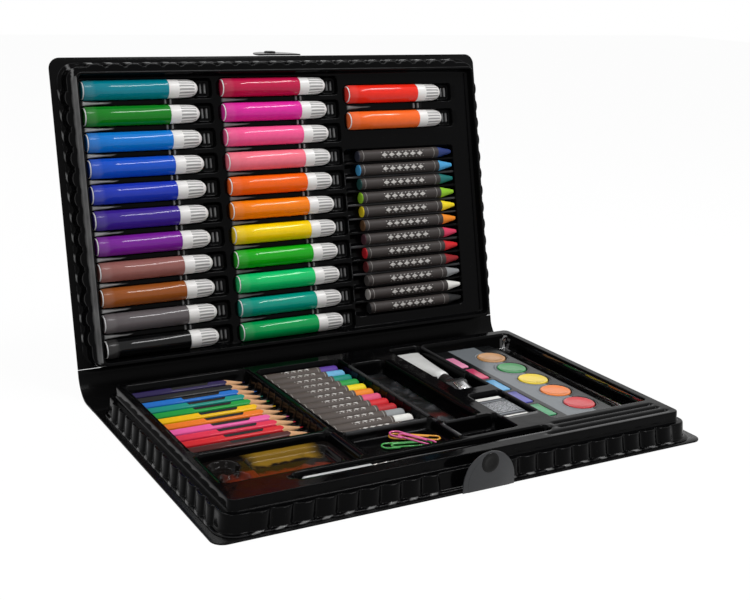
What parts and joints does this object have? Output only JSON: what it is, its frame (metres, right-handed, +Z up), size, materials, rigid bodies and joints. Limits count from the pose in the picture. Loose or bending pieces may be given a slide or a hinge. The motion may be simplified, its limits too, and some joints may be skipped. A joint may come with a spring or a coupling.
{
  "type": "painting_set_case",
  "caption": "Open folding art set: a black sheet cover with two moulded trays of pencils, pastels, markers, crayons, paints and small tools.",
  "frame": {"origin": "centre of the base panel's underside", "axes": "+X along the width to the right as seen from the front, +Y from the front edge to the spine, +Z up"},
  "size_m": [0.3602, 0.337, 0.2392],
  "materials": {
    "cover_sheet": "black flexible plastic sheet with a fine grain",
    "tray_black": "glossy black vacuum formed sheet",
    "clasp_smoke": "smoke grey translucent plastic",
    "snap_black": "dull black",
    "pencil_black": "black lacquered wood with coloured ends, shown as one colour",
    "cedar": "bare sharpened wood",
    "pencil_lead": "coloured leads, one colour stands for the set",
    "pastel_paper": "dark grey paper sleeve",
    "pastel_wax": "oil pastels, one colour stands for the set",
    "marker_body": "coloured barrels, one colour stands for the set",
    "marker_cap": "white",
    "crayon_paper": "dark paper wrapper",
    "crayon_wax": "wax crayons, one colour stands for the set",
    "palette_plate": "pale grey",
    "mixing_plate": "smoky amber translucent plastic",
    "paint_red": "dry watercolour",
    "paint_orange": "dry watercolour",
    "paint_yellow": "dry watercolour",
    "paint_green": "dry watercolour",
    "paint_tan": "dry watercolour",
    "paint_violet": "dry watercolour",
    "paint_blue": "dry watercolour",
    "paint_rose": "dry watercolour",
    "paint_pink": "dry watercolour",
    "guard_clear": "milky clear tube",
    "brush_hair": "brown hair",
    "ferrule_metal": "polished",
    "handle_black": "black lacquered wood",
    "eraser_white": "white rubber",
    "eraser_paper": "dark paper band",
    "sharpener_plastic": "black",
    "blade_steel": "ground steel",
    "glue_white": "milky white tube",
    "glue_cap": "black",
    "clip_yellow": "coated wire",
    "clip_green": "coated wire",
    "clip_pink": "coated wire"
  },
  "bodies": {
    "base": {"cover_base": "cover_sheet", "tray_base": "tray_black", "pencil_barrels": "pencil_black", "pencil_wood_cones": "cedar", "pencil_leads": "pencil_lead", "pastel_sleeves": "pastel_paper", "pastel_sticks": "pastel_wax", "clip_yellow": "clip_yellow", "clip_green": "clip_green", "clip_pink": "clip_pink"},
    "spine": {"cover_spine": "cover_sheet"},
    "lid": {"cover_lid": "cover_sheet", "tray_lid": "tray_black", "marker_barrels_left": "marker_body", "marker_caps_left": "marker_cap", "marker_barrels_middle": "marker_body", "marker_caps_middle": "marker_cap", "marker_barrels_right": "marker_body", "marker_caps_right": "marker_cap", "crayon_wrappers": "crayon_paper", "crayon_sticks": "crayon_wax"},
    "flap": {"clasp_flap": "clasp_smoke", "clasp_snap": "snap_black"},
    "tab": {"lid_tab": "clasp_smoke", "lid_tab_stud": "snap_black"},
    "palette": {"paint_palette": "palette_plate", "paint_cake_red": "paint_red", "paint_cake_orange": "paint_orange", "paint_cake_yellow": "paint_yellow", "paint_cake_green": "paint_green", "paint_cake_tan": "paint_tan", "paint_pan_green": "paint_green", "paint_pan_violet": "paint_violet", "paint_pan_blue": "paint_blue", "paint_pan_rose": "paint_rose", "paint_pan_pink": "paint_pink"},
    "mixer": {"mixing_palette": "mixing_plate"},
    "brush": {"brush_guard": "guard_clear", "brush_hair": "brush_hair", "brush_ferrule": "ferrule_metal", "brush_handle": "handle_black"},
    "eraser": {"eraser": "eraser_white", "eraser_band": "eraser_paper"},
    "sharpener": {"sharpener_body": "sharpener_plastic", "sharpener_blade": "blade_steel", "sharpener_screw": "blade_steel"},
    "glue": {"glue_tube": "glue_white", "glue_cap": "glue_cap"}
  },
  "joints": [
    {"name": "spine_hinge", "type": "hinge", "parent": "base", "child": "spine", "pos_m": [0, 0.11175, 0.0005], "axis": [1, 0, 0], "range_deg": [0, 62.3]},
    {"name": "lid_hinge", "type": "hinge", "parent": "spine", "child": "lid", "pos_m": [0, 0.14699, 0.019], "axis": [1, 0, 0], "range_deg": [-75, 40.5]},
    {"name": "clasp_flap_hinge", "type": "hinge", "parent": "base", "child": "flap", "pos_m": [0, -0.11255, 0.0005], "axis": [-1, 0, 0], "range_deg": [-88, 20]},
    {"name": "lid_tab_hinge", "type": "hinge", "parent": "lid", "child": "tab", "pos_m": [0, 0.19668, 0.23773], "axis": [1, 0, 0], "range_deg": [-25, 168]},
    {"name": "palette_lift", "type": "slide", "parent": "base", "child": "palette", "axis": [0, 0, -1], "range_m": [-0.05, 0]},
    {"name": "mixer_lift", "type": "slide", "parent": "base", "child": "mixer", "axis": [0, 0, -1], "range_m": [-0.045, 0]},
    {"name": "brush_lift", "type": "slide", "parent": "base", "child": "brush", "axis": [0, 0, -1], "range_m": [-0.06, 0]},
    {"name": "eraser_lift", "type": "slide", "parent": "base", "child": "eraser", "axis": [0, 0, -1], "range_m": [-0.04, 0]},
    {"name": "sharpener_lift", "type": "slide", "parent": "base", "child": "sharpener", "axis": [0, 0, -1], "range_m": [-0.04, 0]},
    {"name": "glue_lift", "type": "slide", "parent": "base", "child": "glue", "axis": [0, 0, -1], "range_m": [-0.04, 0]}
  ]
}
